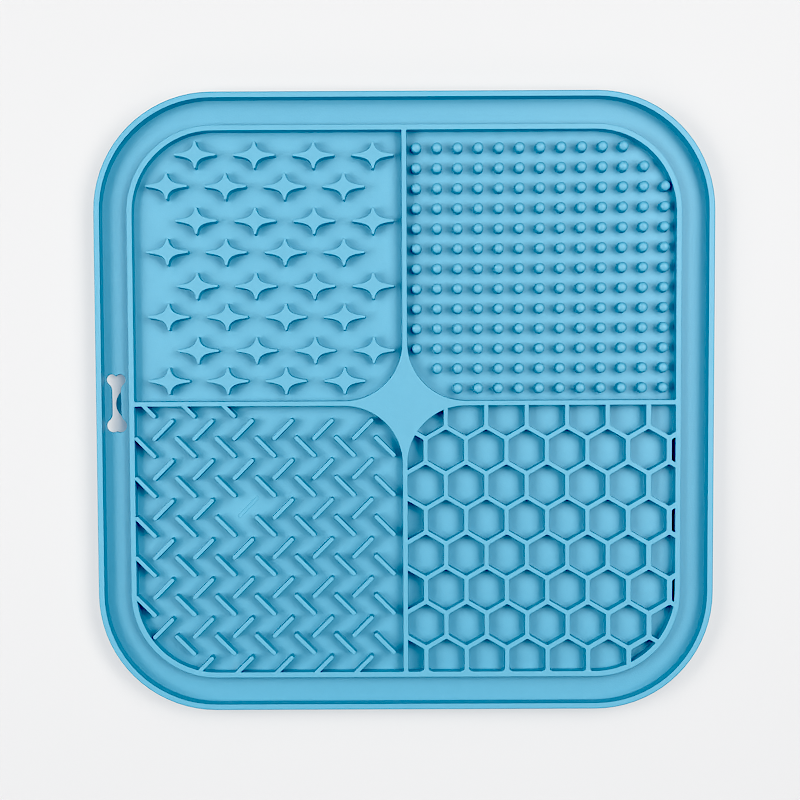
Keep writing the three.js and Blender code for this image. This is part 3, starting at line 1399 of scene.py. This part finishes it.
@dataclass(frozen=True)
class LickMat:
    """The whole mat: every form on one closed skin, in one finish.

    Attributes:
        border: the rim, the gutter and the wall.
        compartments: the four pockets.
        stars: the forms of the upper left pocket.
        nubs: those of the upper right one.
        ridges: those of the lower left one.
        honeycomb: those of the lower right one.
        slot: the hang slot.
        finish: the silicone.
        slot_clearance: least distance of the border's points from the slot's.
        cover_slack: how far a point may lie over another form's edge and still show.
        normal_step: distance over which a slope is measured.
        least_agreement: least product of a corner's normal and its face's own.
    """

    border: Border = Border()
    compartments: Compartments = Compartments()
    stars: StarField = StarField()
    nubs: NubField = NubField()
    ridges: RidgeField = RidgeField()
    honeycomb: Honeycomb = Honeycomb()
    slot: HangSlot = HangSlot()
    finish: Silicone = Silicone()
    slot_clearance: float = 0.06
    cover_slack: float = 0.0001
    normal_step: float = 0.01
    least_agreement: float = 0.25

    def height(self, points: np.ndarray) -> np.ndarray:
        """Height of the upper face at any place: the highest of the forms there.

        Stars and nubs are left out, because they meet no other form.

        Args:
            points: the places, n by 2.

        Returns:
            The heights.
        """
        inset = self.border.inset(points)
        edge = self.border.profile().height_at(inset)
        inner = self.compartments.edge.profile().height_at(self.compartments.distance(points))
        ridge = self.ridges.edge.profile().height_at(self.ridges.distance(points))
        web = self.honeycomb.edge.profile().height_at(self.honeycomb.distance(points))
        inner = np.where(Quarter.RIDGES.holds(points), np.maximum(inner, ridge), inner)
        inner = np.where(Quarter.CELLS.holds(points), np.maximum(inner, web), inner)
        wall_middle = self.border.wall_start() + self.compartments.divider / 2
        return np.where(inset < wall_middle, edge, inner)

    def normal(self, points: np.ndarray) -> np.ndarray:
        """Normal of the upper face, from how its height changes over a short step.

        It is the vector of less the slope along X, less the slope along Y and one, made
        one long.

        Args:
            points: the places, n by 2.

        Returns:
            The normals, n by 3.
        """
        step = self.normal_step
        across = (self.height(points + [step, 0]) - self.height(points - [step, 0])) / (2 * step)
        up = (self.height(points + [0, step]) - self.height(points - [0, step])) / (2 * step)
        normal = np.stack([-across, -up, np.ones(len(points))], 1)
        return normal / np.linalg.norm(normal, axis=1, keepdims=True)

    def buried(self, rings: Rings, distance: np.ndarray) -> np.ndarray:
        """Whether ring points lie inside another form that covers them."""
        return distance < rings.offset - self.cover_slack

    def walls_buried(self, walls: Rings) -> np.ndarray:
        """Whether points of the pockets' walls lie inside a ridge or a honeycomb wall.

        Args:
            walls: the rings down the walls.

        Returns:
            One answer for each point.
        """
        ridge = self.buried(walls, self.ridges.distance(walls.place))
        web = self.buried(walls, self.honeycomb.distance(walls.place))
        return (Quarter.RIDGES.holds(walls.place) & ridge) | (Quarter.CELLS.holds(walls.place) & web)

    def upper_rings(self) -> tuple[Rings, np.ndarray, np.ndarray, np.ndarray]:
        """All rings of the upper face.

        Points that another form covers stay where a link crosses that form's edge, and
        all links between two such points go.

        Returns:
            The rings, which of their points another form covers, the indices of the
            outermost ring, and those of the slot's two lowest rings, ring by ring.
        """
        border = self.border.rings()
        outermost = border.ring(0)
        gap = self.slot.outline(self.slot.edge_round)
        near = (to_segments(border.place, gap) < self.slot_clearance) | within(border.place, gap)
        border = pick(border, ~near, ~near[border.link].any(1))
        slot = self.slot.rings(self.border)
        walls = self.compartments.rings()
        ridges = self.ridges.rings()
        cells = self.honeycomb.rings(self.compartments)
        parts = [
            (border, None),
            (slot, None),
            (walls, self.walls_buried(walls)),
            (ridges, self.buried(ridges, self.compartments.distance(ridges.place, Quarter.RIDGES))),
            (cells, self.buried(cells, self.compartments.distance(cells.place, Quarter.CELLS))),
            (self.stars.rings(), None),
            (self.nubs.rings(), None),
        ]
        rings = gather([part for part, _ in parts])
        hidden = np.concatenate([
            np.zeros(len(part.place), bool) if covered is None else covered for part, covered in parts
        ])
        last = len(slot.place) // slot.count - 1
        lowest = len(border.place) + np.stack([slot.ring(last - 1), slot.ring(last)])
        shown = ~hidden[rings.link].all(1)
        used = ~hidden
        used[rings.link[shown]] = True
        number = np.cumsum(used) - 1
        return pick(rings, used, shown), hidden[used], number[outermost], number[lowest]

    def upper_face(self) -> UpperFace:
        """The upper face: all rings joined, without what lies outside or in the slot.

        Where two forms cross, and at points that another form covers, the height and the
        normal are those of the highest form.

        Returns:
            The face.
        """
        rings, hidden, outermost, lowest = self.upper_rings()
        places, faces, source = triangulate(rings.place, rings.link)
        height = np.where(source < 0, 0.0, rings.height[source])
        normals = rings.normal[source]
        redo = (source < 0) | hidden[source]
        height[redo] = self.height(places[redo])
        normals[redo] = self.normal(places[redo])
        found = np.full(len(rings.place), -1)
        found[source[source >= 0]] = np.flatnonzero(source >= 0)
        outer, slot = found[outermost], found[lowest]
        on_outer = np.isin(faces, outer).all(1)
        on_slot = np.isin(faces, slot[1]).all(1)
        hole = on_slot.copy()
        hole[on_slot] = within(places[faces[on_slot]].mean(1), places[slot[1]])
        points = np.concatenate([places, height[:, None]], 1)
        return UpperFace(points, normals, faces[~on_outer & ~hole], outer, slot)

    def sole(self, points: np.ndarray, bottom: np.ndarray, foot: np.ndarray) -> np.ndarray:
        """Triangles of the flat underside, with a hole for the slot.

        Args:
            points: place of each point of the mat.
            bottom: indices of the lowest ring of the outer side.
            foot: indices of the slot's lowest ring.

        Returns:
            The three points of each triangle, facing down.
        """
        rims = np.concatenate([bottom, foot])
        links = np.concatenate([ring_links(1, len(bottom)), ring_links(1, len(foot)) + len(bottom)])
        places, faces, source = triangulate(points[rims, :2], links)
        faces = faces[~within(places[faces].mean(1), points[foot, :2])]
        return rims[source[faces]][:, ::-1]

    def skin(self) -> Skin:
        """The closed skin: the upper face, the outer side and the flat underside.

        Returns:
            The skin.
        """
        upper = self.upper_face()
        outline, inward = self.border.outline()
        under = sweep(outline[None], inward[None], self.border.under_profile())
        under_points = np.concatenate([under.place, under.height[:, None]], 1)
        points = np.concatenate([upper.points, under_points])
        normals = np.concatenate([upper.normals, under.normal])
        index = len(upper.points) + np.arange(len(under.place))
        levels = np.concatenate([[upper.outer], index.reshape(-1, under.count)])
        sole = self.sole(points, levels[-1], upper.slot[1])
        faces = np.concatenate([upper.faces, band(levels), sole])
        corner = normals[faces]
        corner[-len(sole):] = [0.0, 0.0, -1.0]
        # Marks the slot's lip, which the finish paints darker as shade
        painted_shade = np.zeros(len(points))
        painted_shade[upper.slot[:, self.slot.bulge(self.slot.outline(0)) > 0]] = 1.0
        return Skin(points, faces, self.settled(points, faces, corner), painted_shade)

    def settled(self, points: np.ndarray, faces: np.ndarray, corner: np.ndarray) -> np.ndarray:
        """Corner normals, with a face's own normal where one would turn away from it.

        A face's own normal is the cross product of two of its sides, made one long. A
        corner keeps its normal while the product of the two is above a small share.

        Args:
            points: place of each point.
            faces: the three points of each triangle.
            corner: the normal wanted at each corner of each triangle.

        Returns:
            The normals to use, in the same order.
        """
        a, b, c = points[faces[:, 0]], points[faces[:, 1]], points[faces[:, 2]]
        own = np.cross(b - a, c - a)
        own = own / np.linalg.norm(own, axis=1, keepdims=True)
        agrees = (corner * own[:, None]).sum(-1, keepdims=True) > self.least_agreement
        return np.where(agrees, corner, own[:, None])

    def build(self) -> bpy.types.Object:
        """Writes the skin as one object at the origin, in metres, with its own normals.

        Returns:
            The object.
        """
        skin = self.skin()
        mesh = bpy.data.meshes.new("lick_mat")
        mesh.from_pydata((skin.points * MM).tolist(), [], skin.faces.tolist())
        mesh.shade_smooth()
        mesh.normals_split_custom_set(skin.corner_normals.reshape(-1, 3).tolist())
        # The mark of the painted shade on the slot's lip, as a point attribute
        mesh.attributes.new(PAINTED_SHADE, "FLOAT", "POINT").data.foreach_set("value", skin.painted_shade)
        mesh.validate()
        piece = bpy.data.objects.new("lick_mat", mesh)
        bpy.context.scene.collection.objects.link(piece)
        return piece

    def dress(self, piece: bpy.types.Object) -> None:
        """Gives the mat its silicone and sets it in the frame in place of the solids.

        Args:
            piece: the mat's object.
        """
        piece.data.materials.append(self.finish.material())
        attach(piece, "root")
        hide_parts("mat", "slot_strip")


# Studio

@dataclass(frozen=True)
class Table:
    """A plain white table top, softly lit from below beside the mat; under the mat that light fades to a
    dim, bluish painted shade, which shows through the slot. Sizes in metres.

    Attributes:
        half: half the table's side.
        near: half the side of its middle field, where the mat lies.
        gap: how far the table lies below the mat.
        colour: the lighter colour of the sheet.
        shade: the darker one, as a share of it.
        cloud_scale: clouds of the two colours in a metre.
        roughness: roughness of the sheet.
        glow: light from below beside the mat.
        full: colour of that light.
        under: the dim, bluish colour that the light fades to under the mat: painted shade with a blue tint,
            seen through the slot.
        core: half the side of the square that the mat's round corners start from.
        fade_start: distance from that square where the light starts to grow.
        fade_end: distance from that square where it is full.
    """

    half: float = 12.0
    near: float = 0.15
    gap: float = 0.00005
    colour: tuple[float, float, float] = (0.268, 0.262, 0.256)
    shade: float = 0.99
    cloud_scale: float = 6.0
    roughness: float = 0.7
    glow: float = 0.476
    full: tuple[float, float, float] = (1.0, 1.0, 1.0)
    under: tuple[float, float, float] = (0.17, 0.30, 0.42)
    core: float = 0.062
    fade_start: float = 0.0302
    fade_end: float = 0.035

    def build(self) -> bpy.types.Object:
        """A square sheet just below the mat's underside, in three by three fields.

        Returns:
            The table's object.
        """
        lines = np.array([-self.half, -self.near, self.near, self.half])
        x, y = np.meshgrid(lines, lines)
        points = np.stack([x.ravel(), y.ravel(), np.full(x.size, -self.gap)], 1)
        index = np.arange(x.size).reshape(x.shape)
        fields = np.stack([index[:-1, :-1], index[:-1, 1:], index[1:, 1:], index[1:, :-1]], -1)
        mesh = bpy.data.meshes.new("table_top")
        mesh.from_pydata(points.tolist(), [], fields.reshape(-1, 4).tolist())
        table = bpy.data.objects.new("table_top", mesh)
        bpy.context.scene.collection.objects.link(table)
        table.data.materials.append(self.material())
        return table

    def material(self) -> bpy.types.Material:
        """Matt white with hardly visible clouds, and a light that fades under the mat to a painted, bluish
        shade.

        Returns:
            The material.
        """
        material, shader = blank_finish("table_white")
        tree = material.node_tree
        set_inputs(shader, {"Roughness": self.roughness, "Emission Strength": self.glow})
        where = add_node(tree, "ShaderNodeTexCoord")
        clouds = add_node(tree, "ShaderNodeTexNoise", {"Scale": self.cloud_scale})
        darker = tuple(part * self.shade for part in self.colour)
        tint = add_node(tree, "ShaderNodeMix", {"A": self.colour, "B": darker}, data_type="RGBA")
        fade = add_node(tree, "ShaderNodeMapRange", {
            "From Min": self.fade_start, "From Max": self.fade_end,
        })
        # Painted shade: under the mat the glow fades to a dim blue, for the shadow and blue tint seen
        # through the slot
        light = add_node(tree, "ShaderNodeMix", {"A": self.under, "B": self.full}, data_type="RGBA")
        join(
            tree,
            (where.outputs["Object"], clouds.inputs["Vector"]),
            (clouds.outputs["Fac"], tint.inputs["Factor"]),
            (tint.outputs["Result"], shader.inputs["Base Color"]),
            (self.beside_core(tree, where.outputs["Object"]), fade.inputs["Value"]),
            (fade.outputs["Result"], light.inputs["Factor"]),
            (light.outputs["Result"], shader.inputs["Emission Color"]),
        )
        return material

    def beside_core(self, tree: bpy.types.NodeTree, where: bpy.types.NodeSocket) -> bpy.types.NodeSocket:
        """Distance of a place on the table from the square under the mat's middle.

        It is the length of what the sizes of X and Y exceed the core by. Z drops out,
        because a whole metre is taken off it.

        Args:
            tree: the nodes of the material.
            where: the place.

        Returns:
            The distance.
        """
        steps = (
            ("ABSOLUTE", None),
            ("SUBTRACT", (self.core, self.core, 1.0)),
            ("MAXIMUM", (0.0, 0.0, 0.0)),
            ("LENGTH", None),
        )
        for operation, vector in steps:
            step = add_node(tree, "ShaderNodeVectorMath", operation=operation)
            if vector is not None:
                step.inputs[1].default_value = vector
            join(tree, (where, step.inputs[0]))
            where = step.outputs["Value" if operation == "LENGTH" else "Vector"]
        return where


@dataclass(frozen=True)
class SoftBox:
    """A soft light with a flat face that looks at the middle of the mat.

    Attributes:
        name: name of the light.
        azimuth: its direction seen from above, in degrees from X to Y.
        elevation: its height above the table, in degrees.
        distance: its distance from the mat's middle, in metres.
        wide: width of its face.
        tall: height of its face.
        power: its power in watts.
    """

    name: str
    azimuth: float
    elevation: float
    distance: float
    wide: float
    tall: float
    power: float

    def build(self) -> bpy.types.Object:
        """Hangs the light and aims it.

        With the azimuth a and the elevation e, it hangs at the distance times
        (cos e cos a, cos e sin a, sin e).

        Returns:
            The light's object.
        """
        data = bpy.data.lights.new(self.name, "AREA")
        data.shape = "RECTANGLE"
        data.size = self.wide
        data.size_y = self.tall
        data.energy = self.power
        light = bpy.data.objects.new(self.name, data)
        bpy.context.scene.collection.objects.link(light)
        a, e = math.radians(self.azimuth), math.radians(self.elevation)
        light.location = (
            self.distance * math.cos(e) * math.cos(a),
            self.distance * math.cos(e) * math.sin(a),
            self.distance * math.sin(e),
        )
        light.rotation_euler = (-light.location).to_track_quat("-Z", "Y").to_euler()
        return light


@dataclass(frozen=True)
class Studio:
    """The table, the soft lights and the camera above the mat.

    Attributes:
        table: the table.
        lights: the soft lights.
        sky: strength of the even light from all round.
        sky_colour: its colour.
        camera_place: place of the camera, in millimetres.
        camera_tilt: turns about X, Y and Z from looking straight down, in radians.
        focal_pixels: focal length, in pixels of the picture.
        centre_row: row of the picture that the lens looks at.
        picture: width and height of the picture, in pixels.
        sensor: width of the camera's sensor, in millimetres.
        nearest: nearest thing that the camera sees, in metres.
        sharpening: strength of the sharpening.
        black: red, green and blue that the picture shows as black.
    """

    table: Table = Table()
    lights: tuple[SoftBox, ...] = (
        SoftBox("soft_right", 2, 59, 0.9, 0.46, 0.38, 4.2),
        SoftBox("soft_back_right", 45, 60, 0.9, 0.46, 0.38, 3.1),
        SoftBox("soft_back_left", 135, 56, 0.9, 0.42, 0.3, 1.0),
        SoftBox("soft_left", 180, 56, 0.9, 0.42, 0.32, 3.8),
        SoftBox("fill_left", 180, 38, 0.9, 0.42, 0.3, 1.4),
        SoftBox("fill_back", 90, 38, 0.9, 0.42, 0.3, 0.5),
        SoftBox("fill_front", 270, 38, 0.9, 0.42, 0.3, 1.0),
    )
    sky: float = 0.1
    sky_colour: tuple[float, float, float] = (0.75, 0.95, 1.3)
    camera_place: tuple[float, float, float] = (-0.66, 9.01, 590.0)
    camera_tilt: tuple[float, float, float] = (-0.063775, 0.001824, -0.004151)
    focal_pixels: float = 1792.0
    centre_row: float = 490.0
    picture: float = 800.0
    sensor: float = 36.0
    nearest: float = 0.01
    sharpening: float = 0.2
    black: tuple[float, float, float] = (0.081, 0.048, 0.0)

    def build(self) -> None:
        """Sets up everything around the mat."""
        self.table.build()
        for light in self.lights:
            light.build()
        world = bpy.data.worlds.new("sky")
        world.use_nodes = True
        background = world.node_tree.nodes["Background"]
        set_inputs(background, {"Color": self.sky_colour, "Strength": self.sky})
        bpy.context.scene.world = world
        bpy.context.scene.view_settings.view_transform = "Standard"
        self.build_camera()
        self.build_develop()

    def build_develop(self) -> None:
        """The camera's own treatment of its picture: deeper shadows, then a light sharpening."""
        bpy.context.scene.use_nodes = True
        tree = bpy.context.scene.node_tree
        tree.nodes.clear()
        layers = add_node(tree, "CompositorNodeRLayers")
        deepen = add_node(tree, "CompositorNodeCurveRGB", {"Black Level": self.black})
        sharpen = add_node(
            tree, "CompositorNodeFilter", {"Fac": self.sharpening}, filter_type="SHARPEN_DIAMOND"
        )
        result = add_node(tree, "CompositorNodeComposite")
        join(
            tree,
            (layers.outputs["Image"], deepen.inputs["Image"]),
            (deepen.outputs["Image"], sharpen.inputs["Image"]),
            (sharpen.outputs["Image"], result.inputs["Image"]),
        )

    def build_camera(self) -> None:
        """A camera nearly straight above, with the small rise that the picture's crop has.

        The lens is the focal length in pixels over the picture's, times the sensor. The
        rise is how far the row it looks at lies from the middle one, over the picture's.
        """
        data = bpy.data.cameras.new("camera")
        data.sensor_width = self.sensor
        data.lens = self.focal_pixels / self.picture * data.sensor_width
        data.shift_y = (self.centre_row - self.picture / 2) / self.picture
        data.clip_start = self.nearest
        camera = bpy.data.objects.new("camera", data)
        camera.location = [c * MM for c in self.camera_place]
        camera.rotation_mode = "ZYX"
        camera.rotation_euler = Euler(self.camera_tilt, "ZYX")
        bpy.context.scene.collection.objects.link(camera)
        bpy.context.scene.camera = camera


def main() -> None:
    """Builds the mat and its studio in order."""
    logging.basicConfig(level=logging.INFO, format="%(name)s: %(message)s")
    Studio().build()
    mat = LickMat()
    piece = mat.build()
    mat.dress(piece)
    LOG.info("%s: %d triangles", piece.name, len(piece.data.polygons))


if __name__ == "__main__":
    main()
